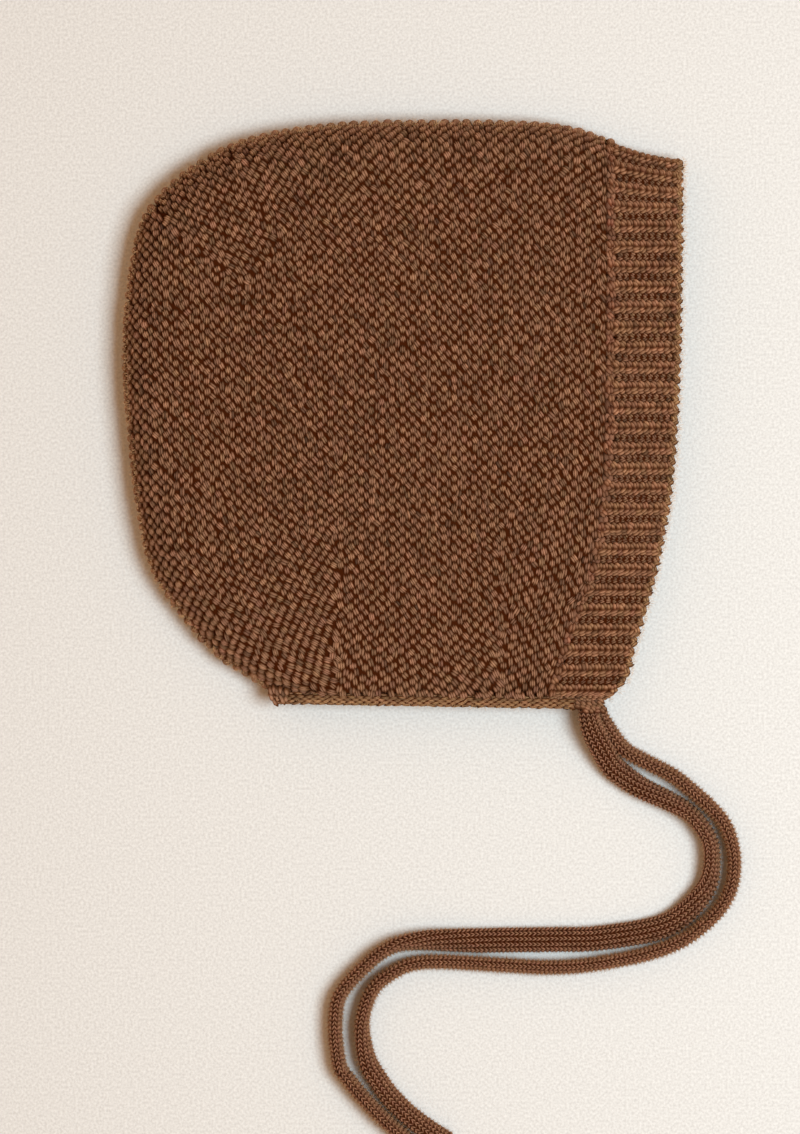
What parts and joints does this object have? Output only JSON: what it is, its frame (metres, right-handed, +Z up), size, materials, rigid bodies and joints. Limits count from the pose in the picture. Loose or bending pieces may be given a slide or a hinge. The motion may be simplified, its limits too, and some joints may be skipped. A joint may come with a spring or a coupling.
{
  "type": "baby bonnet",
  "caption": "Knitted baby bonnet with a ribbed brim and two tie cords, lying folded flat on its side.",
  "frame": {"origin": "on the surface that the bonnet lies on, under the middle of its folded outline without the ties", "axes": "+X towards the face opening, +Y towards the top of the head, +Z up from the surface"},
  "size_m": [0.1695, 0.2823, 0.0145],
  "materials": {
    "garter_knit": "brown wool yarn in garter stitch",
    "rib_knit": "brown wool yarn in single rib",
    "chain_edging": "brown wool yarn, chained edge",
    "tie_knit": "brown wool yarn, knitted tube cord"
  },
  "bodies": {
    "root": {"crown": "garter_knit", "brim": "rib_knit", "neck_edging": "chain_edging", "tie_upper": "tie_knit", "tie_lower": "tie_knit"}
  },
  "joints": []
}
